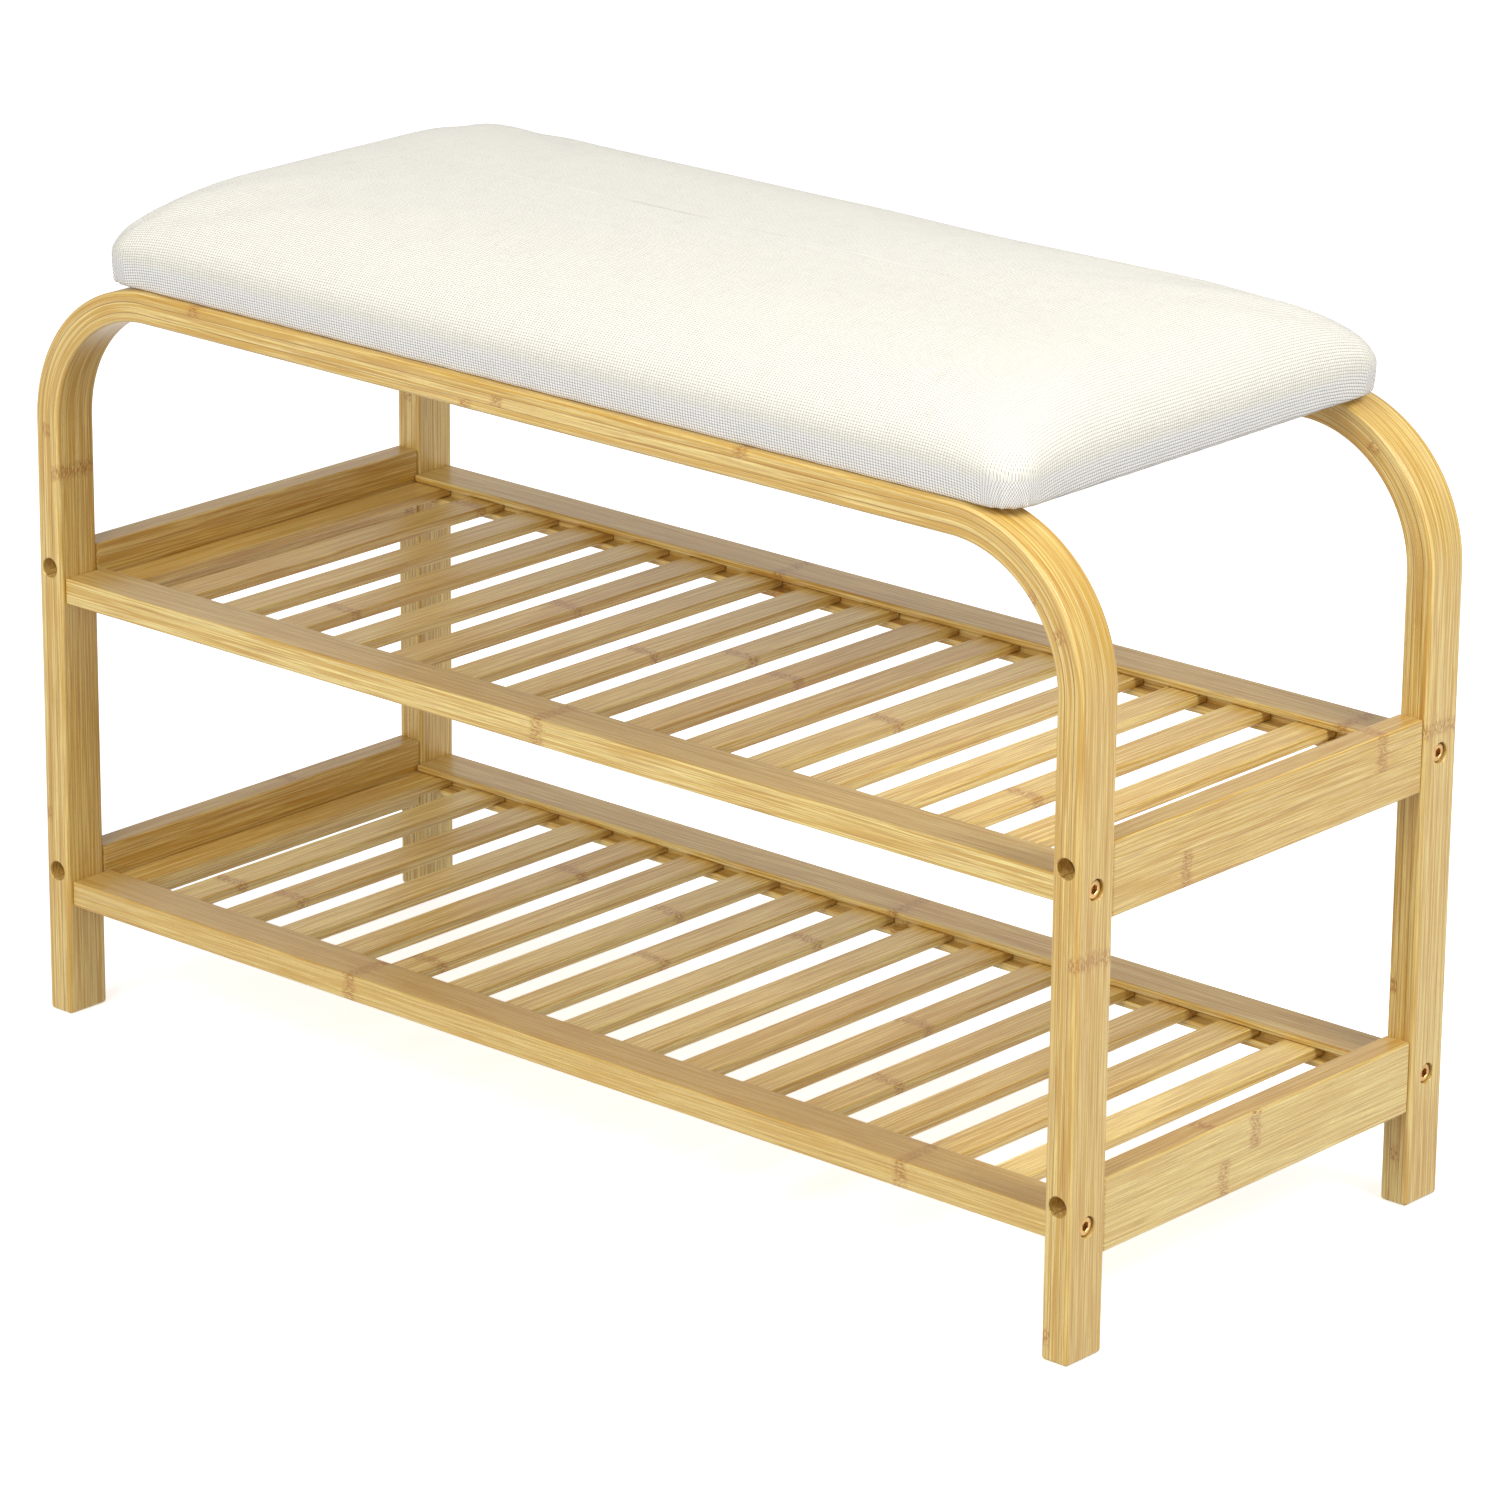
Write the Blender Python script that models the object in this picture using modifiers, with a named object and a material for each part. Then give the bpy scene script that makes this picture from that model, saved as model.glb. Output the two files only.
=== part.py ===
# Entryway bench: two bent bamboo hoops, two slatted shelves and an upholstered seat. Metres, +Z up.
import math

import bmesh
import bpy

# overall size: X runs along the bench, the front is -Y, the floor is z = 0
LENGTH = 0.700
DEPTH = 0.295
HOOP_TOP = 0.410

# bent hoops
HOOP_THICK = 0.0162
HOOP_WIDE = 0.0265
HOOP_BEND = 0.082
HOOP_EDGE = 0.0018
BEND_STEPS = 18

# shelves
SHELF_BASES = {"lower": 0.0612, "upper": 0.2297}
RAIL_HIGH = 0.0140
RAIL_WIDE = 0.0270
RAIL_SETBACK = 0.0030
GROOVE_LIP = 0.0039
GROOVE_HIGH = 0.0061
GROOVE_DEEP = 0.0085
END_RAIL_HIGH = 0.0380
END_RAIL_THICK = 0.0146
END_RAIL_DROP = 0.0106
END_RAIL_SETBACK = 0.0011
SLATS = 17
SLAT_WIDE = 0.0200
SLAT_THICK = 0.0055
SLAT_SEAT = 0.0079
WOOD_EDGE = 0.0010

# seat
SEAT_HALF_X = 0.3020
SEAT_HALF_Y = 0.1432
SEAT_CORNER = 0.018
SEAT_SHOULDER = 0.4260
SEAT_TOP = 0.4640
CROWN_RINGS = ((0.001, 0.20), (0.004, 0.38), (0.010, 0.55), (0.022, 0.74),
               (0.045, 0.89), (0.075, 0.97), (0.115, 1.0))
COVER_THICK = 0.0012
HEM_WIDE = 0.030
BOARD_THICK = 0.0120

# connector bolts
HEAD_RADIUS = 0.0048
HEAD_LONG = 0.0042
SHANK_RADIUS = 0.0030
SOCKET_ACROSS = 0.0040
SOCKET_DEEP = 0.0025
SINK_RADIUS = 0.0053
BORE_RADIUS = 0.0033
HEAD_RECESS = 0.0012
RAIL_BOLT_LONG = 0.036
END_SINK_DEEP = 0.0145
END_BOLT_RISE = 0.0187
END_BORE_DEEP = 0.030
SEAT_SINK_DEEP = 0.0060
SEAT_BOLT_LONG = 0.0200
SEAT_BOLT_X = 0.200

GAP = 0.0003
ROUND_STEPS = 22

HALF_X = LENGTH / 2
HALF_Y = DEPTH / 2
LEG_INNER_X = HALF_X - HOOP_THICK
LEG_Y = HALF_Y - HOOP_WIDE / 2
LEG_X = HALF_X - HOOP_THICK / 2
GROOVE_LOW = RAIL_HIGH - GROOVE_LIP - GROOVE_HIGH
RAIL_Y = HALF_Y - RAIL_SETBACK - RAIL_WIDE / 2
END_RAIL_X = HALF_X - END_RAIL_SETBACK - END_RAIL_THICK / 2

BAMBOO = ((0.70, 0.51, 0.26, 1.0), 0.42, 0.0)
PLYWOOD = ((0.62, 0.47, 0.29, 1.0), 0.65, 0.0)
FOAM = ((0.83, 0.80, 0.66, 1.0), 0.90, 0.0)
LINEN = ((0.86, 0.83, 0.73, 1.0), 0.85, 0.0)
ZINC = ((0.66, 0.57, 0.40, 1.0), 0.30, 1.0)


def clear_scene():
    """Remove every object that is in the file."""
    for obj in list(bpy.data.objects):
        bpy.data.objects.remove(obj, do_unlink=True)


def new_collection(name):
    """Make a collection under the scene."""
    made = bpy.data.collections.new(name)
    bpy.context.scene.collection.children.link(made)
    return made


def material(name, look):
    """A Principled material from a colour, a roughness and a metallic value."""
    colour, roughness, metallic = look
    made = bpy.data.materials.new(name)
    made.use_nodes = True
    shader = made.node_tree.nodes["Principled BSDF"]
    shader.inputs["Base Color"].default_value = colour
    shader.inputs["Roughness"].default_value = roughness
    shader.inputs["Metallic"].default_value = metallic
    return made


def rough_object(name, mesh, collection):
    """An unplaced object that a mesh is worked on with."""
    obj = bpy.data.objects.new(name, mesh)
    collection.objects.link(obj)
    return obj


def finished_mesh(obj, name):
    """The object's mesh with its modifiers and transform taken in; the object goes."""
    graph = bpy.context.evaluated_depsgraph_get()
    mesh = bpy.data.meshes.new_from_object(obj.evaluated_get(graph))
    mesh.transform(obj.matrix_world)
    mesh.name = name
    work = bmesh.new()
    work.from_mesh(mesh)
    bmesh.ops.remove_doubles(work, verts=work.verts, dist=0.000002)
    bmesh.ops.recalc_face_normals(work, faces=work.faces)
    work.to_mesh(mesh)
    work.free()
    bpy.data.objects.remove(obj, do_unlink=True)
    return mesh


def outline_mesh(name, points, thick, turn, collection):
    """A flat outline given a thickness, turned out of the XY plane by an Euler rotation."""
    curve = bpy.data.curves.new(name, "CURVE")
    curve.dimensions = "2D"
    curve.fill_mode = "BOTH"
    curve.extrude = thick / 2
    spline = curve.splines.new("POLY")
    spline.points.add(len(points) - 1)
    for point, (across, up) in zip(spline.points, points):
        point.co = (across, up, 0.0, 1.0)
    spline.use_cyclic_u = True
    obj = rough_object(name, curve, collection)
    obj.rotation_euler = turn
    bpy.context.view_layer.update()
    return finished_mesh(obj, name)


def box_mesh(name, size):
    """A box centred on its own origin."""
    mesh = bpy.data.meshes.new(name)
    work = bmesh.new()
    bmesh.ops.create_cube(work, size=1.0)
    bmesh.ops.scale(work, vec=size, verts=work.verts)
    work.to_mesh(mesh)
    work.free()
    return mesh


def turned_object(name, profile, collection):
    """A turned body: its half profile of (radius, height) points spun about Z."""
    mesh = bpy.data.meshes.new(name)
    mesh.from_pydata([(radius, 0.0, height) for radius, height in profile],
                     [(i, i + 1) for i in range(len(profile) - 1)], [])
    obj = rough_object(name, mesh, collection)
    spin = obj.modifiers.new("spin", "SCREW")
    spin.steps = ROUND_STEPS
    spin.render_steps = ROUND_STEPS
    spin.use_merge_vertices = True
    spin.merge_threshold = 0.00001
    return obj


def stepped_cutter(name, place, turn, sink_deep, bore_deep, collection):
    """A cutter for a counterbore and its bore; local -Z runs into the wood from the mouth."""
    mouth = 0.004
    profile = [(0.0, mouth), (SINK_RADIUS, mouth), (SINK_RADIUS, -sink_deep),
               (BORE_RADIUS, -sink_deep), (BORE_RADIUS, -bore_deep), (0.0, -bore_deep)]
    obj = turned_object(name, profile, collection)
    obj.location = place
    obj.rotation_euler = turn
    return obj


def plain_cutter(name, place, turn, deep, collection):
    """A cutter for a plain bore; local -Z runs into the wood from the mouth."""
    mouth = 0.004
    profile = [(0.0, mouth), (BORE_RADIUS, mouth), (BORE_RADIUS, -deep), (0.0, -deep)]
    obj = turned_object(name, profile, collection)
    obj.location = place
    obj.rotation_euler = turn
    return obj


def cut(obj, cutters):
    """Take each cutter out of the object with an exact boolean."""
    for cutter in cutters:
        step = obj.modifiers.new(cutter.name, "BOOLEAN")
        step.operation = "DIFFERENCE"
        step.solver = "EXACT"
        step.object = cutter


def round_edges(obj, width, segments):
    """Soften the sharp edges."""
    soft = obj.modifiers.new("edges", "BEVEL")
    soft.width = width
    soft.segments = segments
    soft.limit_method = "ANGLE"
    soft.angle_limit = math.radians(40)


def finish(obj, cutters, name):
    """Take the modifiers into the mesh, then remove the cutters."""
    bpy.context.view_layer.update()
    mesh = finished_mesh(obj, name)
    for cutter in cutters:
        bpy.data.objects.remove(cutter, do_unlink=True)
    return mesh


def arc(centre, radius, start, stop, steps):
    """Points of an arc, angles in degrees."""
    angles = [math.radians(start + (stop - start) * i / steps) for i in range(steps + 1)]
    return [(centre[0] + radius * math.cos(a), centre[1] + radius * math.sin(a)) for a in angles]


def rounded_rectangle(half_x, half_y, radius):
    """The outline of a rectangle with round corners, counter-clockwise."""
    points = []
    for sign_x, sign_y, start in ((1, 1, 0), (-1, 1, 90), (-1, -1, 180), (1, -1, 270)):
        centre = (sign_x * (half_x - radius), sign_y * (half_y - radius))
        points += arc(centre, radius, start, start + 90, 6)
    return points


def rail_bolt_height(base):
    """Height of the bolts into a long rail's ends."""
    return base + RAIL_HIGH / 2


def hoop_mesh(cutters):
    """One hoop, centred on its own thickness in Y, its outer face towards -Y."""
    bend_x = HALF_X - HOOP_BEND
    bend_z = HOOP_TOP - HOOP_BEND
    inner = HOOP_BEND - HOOP_THICK
    outline = [(HALF_X, 0.0)]
    outline += arc((bend_x, bend_z), HOOP_BEND, 0, 90, BEND_STEPS)
    outline += arc((-bend_x, bend_z), HOOP_BEND, 90, 180, BEND_STEPS)
    outline += [(-HALF_X, 0.0), (-LEG_INNER_X, 0.0)]
    outline += arc((-bend_x, bend_z), inner, 180, 90, BEND_STEPS)
    outline += arc((bend_x, bend_z), inner, 90, 0, BEND_STEPS)
    outline += [(LEG_INNER_X, 0.0)]
    blank = outline_mesh("hoop_blank", outline, HOOP_WIDE, (math.pi / 2, 0.0, 0.0), cutters)
    obj = rough_object("hoop_work", blank, cutters)
    round_edges(obj, HOOP_EDGE, 2)
    holes = []
    through = HOOP_WIDE + 0.004
    for side in (-1, 1):
        for shelf, base in SHELF_BASES.items():
            sink = HEAD_RECESS + HEAD_LONG + GAP
            holes.append(stepped_cutter(f"rail_hole_{shelf}_{side}",
                                        (side * HALF_X, 0.0, rail_bolt_height(base)),
                                        (0.0, side * math.pi / 2, 0.0), sink, through, cutters))
            holes.append(stepped_cutter(f"end_hole_{shelf}_{side}",
                                        (side * LEG_X, -HOOP_WIDE / 2, base + END_BOLT_RISE),
                                        (math.pi / 2, 0.0, 0.0), END_SINK_DEEP, through, cutters))
        holes.append(stepped_cutter(f"seat_hole_{side}",
                                    (side * SEAT_BOLT_X, 0.0, HOOP_TOP - HOOP_THICK),
                                    (math.pi, 0.0, 0.0), SEAT_SINK_DEEP, through, cutters))
    cut(obj, holes)
    return finish(obj, holes, "hoop")


def rail_mesh(cutters):
    """One long rail, its groove towards +Y, its origin at the middle of its bottom."""
    long = 2 * (LEG_INNER_X - GAP)
    front = -RAIL_WIDE / 2
    back = RAIL_WIDE / 2
    floor = back - GROOVE_DEEP
    outline = [(front, 0.0), (back, 0.0), (back, GROOVE_LOW), (floor, GROOVE_LOW),
               (floor, GROOVE_LOW + GROOVE_HIGH), (back, GROOVE_LOW + GROOVE_HIGH),
               (back, RAIL_HIGH), (front, RAIL_HIGH)]
    blank = outline_mesh("rail_blank", outline, long, (math.pi / 2, 0.0, math.pi / 2), cutters)
    obj = rough_object("rail_work", blank, cutters)
    round_edges(obj, WOOD_EDGE, 2)
    bore_y = RAIL_Y - LEG_Y
    holes = []
    for side in (-1, 1):
        holes.append(plain_cutter(f"rail_bore_{side}", (side * long / 2, bore_y, RAIL_HIGH / 2),
                                  (0.0, side * math.pi / 2, 0.0), END_BORE_DEEP, cutters))
    cut(obj, holes)
    return finish(obj, holes, "rail")


def end_rail_mesh(cutters):
    """One end rail, centred on its own origin."""
    long = 2 * (HALF_Y - HOOP_WIDE - GAP)
    blank = box_mesh("end_rail_blank", (END_RAIL_THICK, long, END_RAIL_HIGH))
    obj = rough_object("end_rail_work", blank, cutters)
    round_edges(obj, WOOD_EDGE, 2)
    bore_z = END_RAIL_DROP + END_BOLT_RISE - END_RAIL_HIGH / 2
    holes = []
    for side in (-1, 1):
        holes.append(plain_cutter(f"end_bore_{side}", (LEG_X - END_RAIL_X, side * long / 2, bore_z),
                                  (-side * math.pi / 2, 0.0, 0.0), END_BORE_DEEP, cutters))
    cut(obj, holes)
    return finish(obj, holes, "end_rail")


def slat_mesh(cutters):
    """One slat, centred on its own origin."""
    long = 2 * (HALF_Y - RAIL_SETBACK - RAIL_WIDE + SLAT_SEAT)
    blank = box_mesh("slat_blank", (SLAT_WIDE, long, SLAT_THICK))
    obj = rough_object("slat_work", blank, cutters)
    round_edges(obj, WOOD_EDGE, 2)
    return finish(obj, [], "slat")


def bolt_mesh(name, long, cutters):
    """A cap bolt with a hexagon socket; its head's top is at the origin and it points down -Z."""
    edge = 0.0006
    profile = [(0.0, 0.0), (HEAD_RADIUS - edge, 0.0), (HEAD_RADIUS, -edge),
               (HEAD_RADIUS, -HEAD_LONG), (SHANK_RADIUS, -HEAD_LONG),
               (SHANK_RADIUS, -long + edge), (SHANK_RADIUS - edge, -long), (0.0, -long)]
    obj = turned_object(f"{name}_work", profile, cutters)
    socket = bpy.data.meshes.new("socket")
    work = bmesh.new()
    bmesh.ops.create_cone(work, cap_ends=True, segments=6, radius1=SOCKET_ACROSS / math.sqrt(3),
                          radius2=SOCKET_ACROSS / math.sqrt(3), depth=2 * SOCKET_DEEP)
    work.to_mesh(socket)
    work.free()
    key = rough_object("socket_cutter", socket, cutters)
    cut(obj, [key])
    return finish(obj, [key], name)


def seat_block(name, inset, low, high, cutters):
    """A straight-sided block of the seat's outline, drawn in by an inset."""
    outline = rounded_rectangle(SEAT_HALF_X - inset, SEAT_HALF_Y - inset, SEAT_CORNER - inset / 2)
    blank = outline_mesh(f"{name}_blank", outline, high - low, (0.0, 0.0, 0.0), cutters)
    obj = rough_object(f"{name}_work", blank, cutters)
    obj.location = (0.0, 0.0, (low + high) / 2)
    return obj


def crowned_block(name, inset, low, cutters):
    """The seat's outline with straight sides and a crowned top, drawn in by an inset all round."""
    shoulder = SEAT_SHOULDER - inset / 2
    obj = seat_block(name, inset, low, shoulder, cutters)
    rise = SEAT_TOP - inset - shoulder
    half_x = SEAT_HALF_X - inset
    half_y = SEAT_HALF_Y - inset
    top = (shoulder - low) / 2
    work = bmesh.new()
    work.from_mesh(obj.data)
    crown = [f for f in work.faces if f.normal.z > 0.9]
    before_x, before_y, before_rise = half_x, half_y, 0.0
    for drawn_in, share in CROWN_RINGS:
        grown = bmesh.ops.extrude_face_region(work, geom=crown)["geom"]
        bmesh.ops.delete(work, geom=crown, context="FACES")
        crown = [g for g in grown if isinstance(g, bmesh.types.BMFace)]
        ring = list({v for f in crown for v in f.verts})
        now_x = half_x - drawn_in
        now_y = half_y - drawn_in
        bmesh.ops.scale(work, vec=(now_x / before_x, now_y / before_y, 1.0), verts=ring)
        bmesh.ops.translate(work, vec=(0.0, 0.0, rise * share - before_rise), verts=ring)
        before_x, before_y, before_rise = now_x, now_y, rise * share
    work.to_mesh(obj.data)
    work.free()
    return obj


def seat_bores(deep, low, cutters):
    """Cutters for the four seat bolts, from the underside upwards."""
    bores = []
    for side_x in (-1, 1):
        for side_y in (-1, 1):
            bores.append(plain_cutter(f"seat_bore_{side_x}_{side_y}",
                                      (side_x * SEAT_BOLT_X, side_y * LEG_Y, low),
                                      (math.pi, 0.0, 0.0), deep, cutters))
    return bores


def seat_meshes(cutters):
    """The plywood board, the foam on it, and the cover wrapped round both and under the board."""
    cover_low = HOOP_TOP + GAP
    board_low = cover_low + COVER_THICK + GAP
    board_high = board_low + BOARD_THICK
    foam_low = board_high + GAP
    inset = COVER_THICK + GAP

    board = seat_block("seat_board", inset, board_low, board_high, cutters)
    bores = seat_bores(BOARD_THICK - 0.0015, board_low, cutters)
    cut(board, bores)
    board_done = finish(board, bores, "seat_board")

    foam = crowned_block("seat_foam", inset, foam_low, cutters)
    foam_done = finish(foam, [], "seat_foam")

    cover = crowned_block("seat_cover", 0.0, cover_low, cutters)
    hollow = crowned_block("hollow", COVER_THICK, cover_low + COVER_THICK, cutters)
    mouth = seat_block("mouth", HEM_WIDE, cover_low - 0.004, cover_low + COVER_THICK + 0.004, cutters)
    bores = seat_bores(COVER_THICK + 0.0005, cover_low, cutters)
    tools = [hollow, mouth] + bores
    cut(cover, tools)
    cover_done = finish(cover, tools, "seat_cover")
    return {"seat_board": (board_done, PLYWOOD),
            "seat_foam": (foam_done, FOAM),
            "seat_cover": (cover_done, LINEN)}


def place(name, mesh, look, collection, root, location, turn=(0.0, 0.0, 0.0)):
    """Put one named piece on the bench, with its own material."""
    obj = bpy.data.objects.new(name, mesh.copy() if mesh.users else mesh)
    obj.data.materials.clear()
    obj.data.materials.append(material(name, look))
    obj.location = location
    obj.rotation_euler = turn
    obj.parent = root
    collection.objects.link(obj)
    return obj


def main():
    clear_scene()
    bench = new_collection("entryway_bench")
    cutters = new_collection("cutters")
    root = bpy.data.objects.new("entryway_bench", None)
    bench.objects.link(root)
    half_turn = (0.0, 0.0, math.pi)

    hoop = hoop_mesh(cutters)
    place("hoop_front", hoop, BAMBOO, bench, root, (0.0, -LEG_Y, 0.0))
    place("hoop_back", hoop, BAMBOO, bench, root, (0.0, LEG_Y, 0.0), half_turn)

    rail = rail_mesh(cutters)
    end_rail = end_rail_mesh(cutters)
    slat = slat_mesh(cutters)
    first = -(LEG_INNER_X - GAP) + SLAT_WIDE / 2
    pitch = -2 * first / (SLATS - 1)
    seat_bolt_z = HOOP_TOP - HOOP_THICK + SEAT_SINK_DEEP - HEAD_LONG - GAP
    for shelf, base in SHELF_BASES.items():
        place(f"rail_{shelf}_front", rail, BAMBOO, bench, root, (0.0, -RAIL_Y, base))
        place(f"rail_{shelf}_back", rail, BAMBOO, bench, root, (0.0, RAIL_Y, base), half_turn)
        middle = base - END_RAIL_DROP + END_RAIL_HIGH / 2
        place(f"end_rail_{shelf}_right", end_rail, BAMBOO, bench, root, (END_RAIL_X, 0.0, middle))
        place(f"end_rail_{shelf}_left", end_rail, BAMBOO, bench, root, (-END_RAIL_X, 0.0, middle), half_turn)
        slat_z = base + GROOVE_LOW + GROOVE_HIGH / 2
        for i in range(SLATS):
            place(f"slat_{shelf}_{i + 1:02d}", slat, BAMBOO, bench, root, (first + pitch * i, 0.0, slat_z))

    for name, (mesh, look) in seat_meshes(cutters).items():
        place(name, mesh, look, bench, root, (0.0, 0.0, 0.0))

    rail_bolt = bolt_mesh("rail_bolt", RAIL_BOLT_LONG, cutters)
    seat_bolt = bolt_mesh("seat_bolt", SEAT_BOLT_LONG, cutters)
    for side_x, end in ((-1, "left"), (1, "right")):
        for side_y, face in ((-1, "front"), (1, "back")):
            for shelf, base in SHELF_BASES.items():
                spot = (side_x * (HALF_X - HEAD_RECESS), side_y * LEG_Y, rail_bolt_height(base))
                place(f"rail_bolt_{shelf}_{face}_{end}", rail_bolt, ZINC, bench, root, spot,
                      (0.0, side_x * math.pi / 2, 0.0))
            spot = (side_x * SEAT_BOLT_X, side_y * LEG_Y, seat_bolt_z)
            place(f"seat_bolt_{face}_{end}", seat_bolt, ZINC, bench, root, spot, (math.pi, 0.0, 0.0))
    bpy.data.collections.remove(cutters)


main()
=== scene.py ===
import math
import random

import bmesh
import bpy
from mathutils import Matrix, Vector, noise
from mathutils.bvhtree import BVHTree


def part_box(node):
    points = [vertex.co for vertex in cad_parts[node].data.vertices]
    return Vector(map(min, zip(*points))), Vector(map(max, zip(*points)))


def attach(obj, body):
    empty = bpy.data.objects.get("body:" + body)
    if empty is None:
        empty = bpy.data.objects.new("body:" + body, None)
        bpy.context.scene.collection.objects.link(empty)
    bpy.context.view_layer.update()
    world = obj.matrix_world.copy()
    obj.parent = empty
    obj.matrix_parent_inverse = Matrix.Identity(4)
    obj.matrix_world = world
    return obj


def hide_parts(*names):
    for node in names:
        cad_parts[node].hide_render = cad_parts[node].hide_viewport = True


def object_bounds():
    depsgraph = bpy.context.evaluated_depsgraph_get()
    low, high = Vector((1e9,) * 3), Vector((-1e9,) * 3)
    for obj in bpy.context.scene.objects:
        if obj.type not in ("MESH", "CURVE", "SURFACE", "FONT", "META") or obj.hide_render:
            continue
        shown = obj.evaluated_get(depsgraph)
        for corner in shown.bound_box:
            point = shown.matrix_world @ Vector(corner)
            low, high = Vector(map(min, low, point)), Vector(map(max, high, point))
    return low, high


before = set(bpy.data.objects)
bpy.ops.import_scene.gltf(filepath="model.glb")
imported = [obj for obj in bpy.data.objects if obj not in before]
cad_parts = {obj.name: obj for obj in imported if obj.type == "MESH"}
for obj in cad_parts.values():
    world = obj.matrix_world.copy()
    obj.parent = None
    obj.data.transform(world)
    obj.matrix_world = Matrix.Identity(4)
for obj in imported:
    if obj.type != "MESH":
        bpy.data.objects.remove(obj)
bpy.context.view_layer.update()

scene = bpy.context.scene
xAxis, yAxis, zAxis = Vector((1, 0, 0)), Vector((0, 1, 0)), Vector((0, 0, 1))
shelves = ("lower", "upper")
faces = (("front", -1), ("back", 1))  # each with the way its outer side looks along y
print("frame loaded:", len(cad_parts), "nodes")


def newMaterial(name):
    made = bpy.data.materials.new(name)
    made.use_nodes = True
    tree = made.node_tree
    tree.nodes.clear()
    out = tree.nodes.new("ShaderNodeOutputMaterial")
    shader = tree.nodes.new("ShaderNodeBsdfPrincipled")
    tree.links.new(shader.outputs[0], out.inputs[0])
    return made, tree, shader


def feed(tree, socket, value):
    # a link where the value is a socket, a plain number or colour otherwise
    if isinstance(value, bpy.types.NodeSocket):
        tree.links.new(value, socket)
    elif value is not None:
        socket.default_value = value


def calc(tree, operation, a, b=None, clamp=False):
    step = tree.nodes.new("ShaderNodeMath")
    step.operation = operation
    step.use_clamp = clamp
    for socket, value in zip(step.inputs, (a, b)):
        feed(tree, socket, value)
    return step.outputs[0]


def plus(tree, a, b, clamp=False):
    return calc(tree, "ADD", a, b, clamp)


def minus(tree, a, b):
    return calc(tree, "SUBTRACT", a, b)


def times(tree, a, b):
    return calc(tree, "MULTIPLY", a, b)


def joined(tree, x, y, z=0.0):
    step = tree.nodes.new("ShaderNodeCombineXYZ")
    for socket, value in zip(step.inputs, (x, y, z)):
        feed(tree, socket, value)
    return step.outputs[0]


def stretched(tree, axes, scales):
    # a place with every axis scaled on its own
    return joined(tree, *(times(tree, axis, scale) for axis, scale in zip(axes, scales)))


def parted(tree, vector):
    step = tree.nodes.new("ShaderNodeSeparateXYZ")
    feed(tree, step.inputs[0], vector)
    return step.outputs


def cloudy(tree, place, size, detail=2.0):
    step = tree.nodes.new("ShaderNodeTexNoise")
    feed(tree, step.inputs["Vector"], place)
    step.inputs["Scale"].default_value = size
    step.inputs["Detail"].default_value = detail
    return step.outputs[0]


def band(tree, value, low, high, toLow=0.0, toHigh=1.0):
    step = tree.nodes.new("ShaderNodeMapRange")
    step.interpolation_type = "SMOOTHSTEP"
    feed(tree, step.inputs["Value"], value)
    for key, number in (("From Min", low), ("From Max", high), ("To Min", toLow), ("To Max", toHigh)):
        step.inputs[key].default_value = number
    return step.outputs[0]


def blendColour(tree, amount, first, second):
    step = tree.nodes.new("ShaderNodeMix")
    step.data_type = "RGBA"
    step.clamp_factor = True
    feed(tree, step.inputs[0], amount)
    feed(tree, step.inputs[6], first)
    feed(tree, step.inputs[7], second)
    return step.outputs[2]


def chance(tree, value):
    step = tree.nodes.new("ShaderNodeTexWhiteNoise")
    step.noise_dimensions = "1D"
    feed(tree, step.inputs["W"], value)
    return step.outputs[0]


def bumps(tree, shader, height, strength, depth):
    step = tree.nodes.new("ShaderNodeBump")
    step.inputs["Strength"].default_value = strength
    step.inputs["Distance"].default_value = depth
    feed(tree, step.inputs["Height"], height)
    tree.links.new(step.outputs[0], shader.inputs["Normal"])


def carried(tree, name):
    # a value that the mesh carries at its points
    step = tree.nodes.new("ShaderNodeAttribute")
    step.attribute_type = "GEOMETRY"
    step.attribute_name = name
    return step


def linear(red, green, blue):
    # screen values, 0 to 255, as linear light
    shares = [v / 255 for v in (red, green, blue)]
    return tuple(v / 12.92 if v <= 0.04 else ((v + 0.055) / 1.055) ** 2.4 for v in shares) + (1.0,)


bamboo = {
    "pale": linear(248, 226, 149),
    "golden": linear(209, 166, 76),
    "fibre": linear(172, 113, 50),
    "node": linear(176, 120, 52),
    "glue": linear(140, 92, 40),
    "fibreDepth": 0.52,
    "dashDepth": 0.45,
    "nodeSpacing": 0.37,
    "nodeWobble": 0.007,
    "drift": 0.0006,
    "roughness": 0.28,
    "coat": 0.2,
    "coatRoughness": 0.32,
    "broad": (500.0, 9.0, 1.0, 50.0),  # streaks: scale across, scale along, detail, shift by strip
    "medium": (1050.0, 14.0, 1.0, 90.0),
    "fine": (1500.0, 24.0, 1.0, 130.0),
    "dashes": (2600.0, 210.0, 0.0, 170.0),
}


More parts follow.
